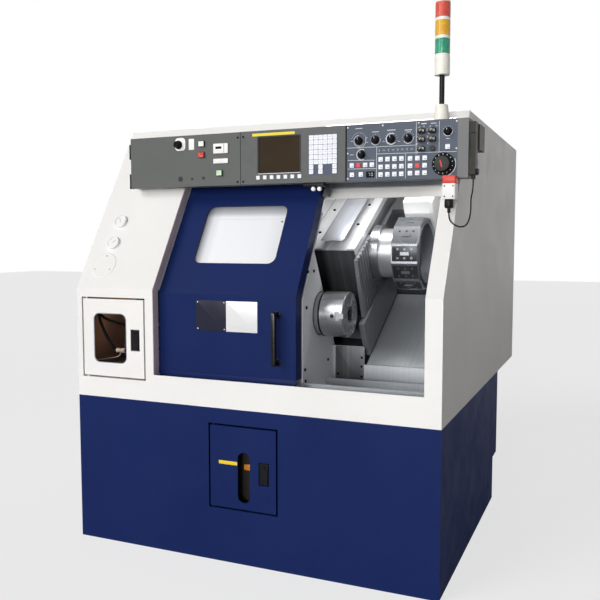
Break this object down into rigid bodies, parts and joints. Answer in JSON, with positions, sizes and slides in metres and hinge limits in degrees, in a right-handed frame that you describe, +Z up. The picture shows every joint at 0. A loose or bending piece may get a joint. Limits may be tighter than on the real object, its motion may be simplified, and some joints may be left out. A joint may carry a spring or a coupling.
{
  "type": "cnc turning lathe",
  "caption": "Slant-bed turning lathe with a sliding guard door, power chuck, indexing tool turret, slanted control panel, tower light and hinged service doors.",
  "frame": {"origin": "centre of the base cabinet's footprint, on the floor", "axes": "+X along the spindle from the headstock to the turret, +Y from the operator to the back, +Z up"},
  "size_m": [1.518, 1.679, 1.995],
  "materials": {
    "white_paint": "satin",
    "navy_paint": "gloss",
    "panel_paint": "satin",
    "display_plastic": "matte",
    "screen": "gloss",
    "key_plastic": "matte",
    "black_plastic": "satin",
    "casting": "matte",
    "guard_steel": "satin",
    "ground_steel": "gloss",
    "dark_steel": "satin",
    "clear_pane": "gloss",
    "dark_pane": "gloss",
    "oil_tank": "satin",
    "pump_paint": "satin",
    "gauge": "gloss",
    "lamp_white": "satin",
    "lamp_green": "gloss",
    "lamp_amber": "gloss",
    "lamp_red": "gloss",
    "white_plastic": "satin",
    "green_plastic": "gloss",
    "red_plastic": "gloss",
    "cord_rubber": "matte"
  },
  "bodies": {
    "frame": {"base_cabinet": "navy_paint", "machine_bed": "casting", "front_frame": "white_paint", "side_panels": "white_paint", "roof_panel": "white_paint", "rear_cover": "white_paint", "lubricator": "oil_tank", "hydraulic_unit": "pump_paint", "pressure_gauges": "gauge", "door_rails": "guard_steel", "headstock": "casting", "headstock_guard": "guard_steel", "spindle_bearings": "dark_steel", "spindle_motor": "dark_steel", "chip_guards": "guard_steel", "panel_box": "panel_paint", "power_plate": "panel_paint", "display_unit": "display_plastic", "display_screen": "screen", "operator_plate": "panel_paint", "panel_keys": "key_plastic", "selector_switches": "black_plastic", "tower_housing": "lamp_white", "tower_pole": "gauge", "green_lens": "lamp_green", "amber_lens": "lamp_amber", "red_lens": "lamp_red", "connector_block": "black_plastic", "interlock_switch": "white_plastic", "interlock_cord": "cord_rubber"},
    "door": {"sliding_door": "navy_paint", "door_window": "clear_pane", "door_handle": "black_plastic"},
    "base_door": {"base_door": "navy_paint"},
    "base_latch": {"base_door_latch": "black_plastic"},
    "cabinet_door": {"cabinet_door": "white_paint", "cabinet_window": "dark_pane"},
    "cabinet_latch": {"cabinet_latch": "black_plastic"},
    "spindle": {"spindle": "dark_steel", "chuck_body": "ground_steel"},
    "jaw_1": {"chuck_jaw_1": "ground_steel"},
    "jaw_2": {"chuck_jaw_2": "ground_steel"},
    "jaw_3": {"chuck_jaw_3": "ground_steel"},
    "saddle": {"saddle": "casting", "saddle_guard": "guard_steel"},
    "cross_slide": {"cross_slide": "ground_steel", "turret_housing": "ground_steel", "turret_cover": "white_paint"},
    "turret": {"turret_drum": "ground_steel"},
    "handwheel": {"handwheel": "black_plastic"},
    "power_knob": {"power_knob": "black_plastic"},
    "mode_knob": {"mode_knob": "black_plastic"},
    "feed_knob": {"feed_knob": "black_plastic"},
    "rapid_knob": {"rapid_knob": "black_plastic"},
    "spindle_knob": {"spindle_knob": "black_plastic"},
    "jog_knob": {"jog_knob": "black_plastic"},
    "chuck_knob": {"chuck_knob": "black_plastic"},
    "start_button": {"start_button": "green_plastic"},
    "stop_button": {"stop_button": "red_plastic"},
    "power_on_button": {"power_on_button": "white_plastic"}
  },
  "joints": [
    {"name": "door_slide", "type": "slide", "parent": "frame", "child": "door", "axis": [1, 0, 0], "range_m": [0, 0.471]},
    {"name": "base_door_hinge", "type": "hinge", "parent": "frame", "child": "base_door", "pos_m": [-0.12, -0.58, 0.357], "axis": [0, 0, -1], "range_deg": [0, 110]},
    {"name": "base_latch_hinge", "type": "hinge", "parent": "base_door", "child": "base_latch", "pos_m": [0.088, -0.585, 0.379], "axis": [-1, 0, 0], "range_deg": [0, 40]},
    {"name": "cabinet_door_hinge", "type": "hinge", "parent": "frame", "child": "cabinet_door", "pos_m": [-0.685, -0.58, 0.805], "axis": [0, 0, -1], "range_deg": [0, 110]},
    {"name": "cabinet_latch_hinge", "type": "hinge", "parent": "cabinet_door", "child": "cabinet_latch", "pos_m": [-0.454, -0.585, 0.834], "axis": [-1, 0, 0], "range_deg": [0, 40]},
    {"name": "spindle_spin", "type": "hinge", "parent": "frame", "child": "spindle", "pos_m": [0, -0.315, 0.905], "axis": [1, 0, 0], "continuous": true},
    {"name": "jaw_1_slide", "type": "slide", "parent": "spindle", "child": "jaw_1", "axis": [0, 0.5, 0.866], "range_m": [-0.003, 0.003]},
    {"name": "jaw_2_slide", "type": "slide", "parent": "spindle", "child": "jaw_2", "axis": [0, -1, 0], "range_m": [-0.003, 0.003]},
    {"name": "jaw_3_slide", "type": "slide", "parent": "spindle", "child": "jaw_3", "axis": [0, 0.5, -0.866], "range_m": [-0.003, 0.003]},
    {"name": "z_slide", "type": "slide", "parent": "frame", "child": "saddle", "axis": [1, 0, 0], "range_m": [-0.1, 0.13]},
    {"name": "x_slide", "type": "slide", "parent": "saddle", "child": "cross_slide", "axis": [0, 0.866, 0.5], "range_m": [-0.15, 0]},
    {"name": "turret_index", "type": "hinge", "parent": "cross_slide", "child": "turret", "pos_m": [0.484, -0.04047, 1.13018], "axis": [1, 0, 0], "continuous": true},
    {"name": "handwheel_spin", "type": "hinge", "parent": "frame", "child": "handwheel", "pos_m": [0.68027, -0.416, 1.43604], "axis": [0, 1, 0], "continuous": true},
    {"name": "power_knob_turn", "type": "hinge", "parent": "frame", "child": "power_knob", "pos_m": [-0.3594, -0.416, 1.5505], "axis": [0, 1, 0], "range_deg": [-135, 135]},
    {"name": "mode_knob_turn", "type": "hinge", "parent": "frame", "child": "mode_knob", "pos_m": [0.3805, -0.416, 1.52816], "axis": [0, 1, 0], "range_deg": [-135, 135]},
    {"name": "feed_knob_turn", "type": "hinge", "parent": "frame", "child": "feed_knob", "pos_m": [0.44109, -0.416, 1.52816], "axis": [0, 1, 0], "range_deg": [-135, 135]},
    {"name": "rapid_knob_turn", "type": "hinge", "parent": "frame", "child": "rapid_knob", "pos_m": [0.49772, -0.416, 1.52914], "axis": [0, 1, 0], "range_deg": [-135, 135]},
    {"name": "spindle_knob_turn", "type": "hinge", "parent": "frame", "child": "spindle_knob", "pos_m": [0.55791, -0.416, 1.52875], "axis": [0, 1, 0], "range_deg": [-135, 135]},
    {"name": "jog_knob_turn", "type": "hinge", "parent": "frame", "child": "jog_knob", "pos_m": [0.69374, -0.416, 1.54384], "axis": [0, 1, 0], "range_deg": [-135, 135]},
    {"name": "chuck_knob_turn", "type": "hinge", "parent": "frame", "child": "chuck_knob", "pos_m": [0.3908, -0.416, 1.48014], "axis": [0, 1, 0], "range_deg": [-135, 135]},
    {"name": "start_button_press", "type": "slide", "parent": "frame", "child": "start_button", "axis": [0, 1, 0], "range_m": [0, 0.002], "stiffness_N_per_m": 500, "springref_m": -0.002},
    {"name": "stop_button_press", "type": "slide", "parent": "frame", "child": "stop_button", "axis": [0, 1, 0], "range_m": [0, 0.002], "stiffness_N_per_m": 500, "springref_m": -0.002},
    {"name": "power_on_button_press", "type": "slide", "parent": "frame", "child": "power_on_button", "axis": [0, 1, 0], "range_m": [0, 0.002], "stiffness_N_per_m": 500, "springref_m": -0.002}
  ],
  "couplings": [
    {"joint": "jaw_2_slide", "follows": "jaw_1_slide", "ratio": 1},
    {"joint": "jaw_3_slide", "follows": "jaw_1_slide", "ratio": 1}
  ]
}
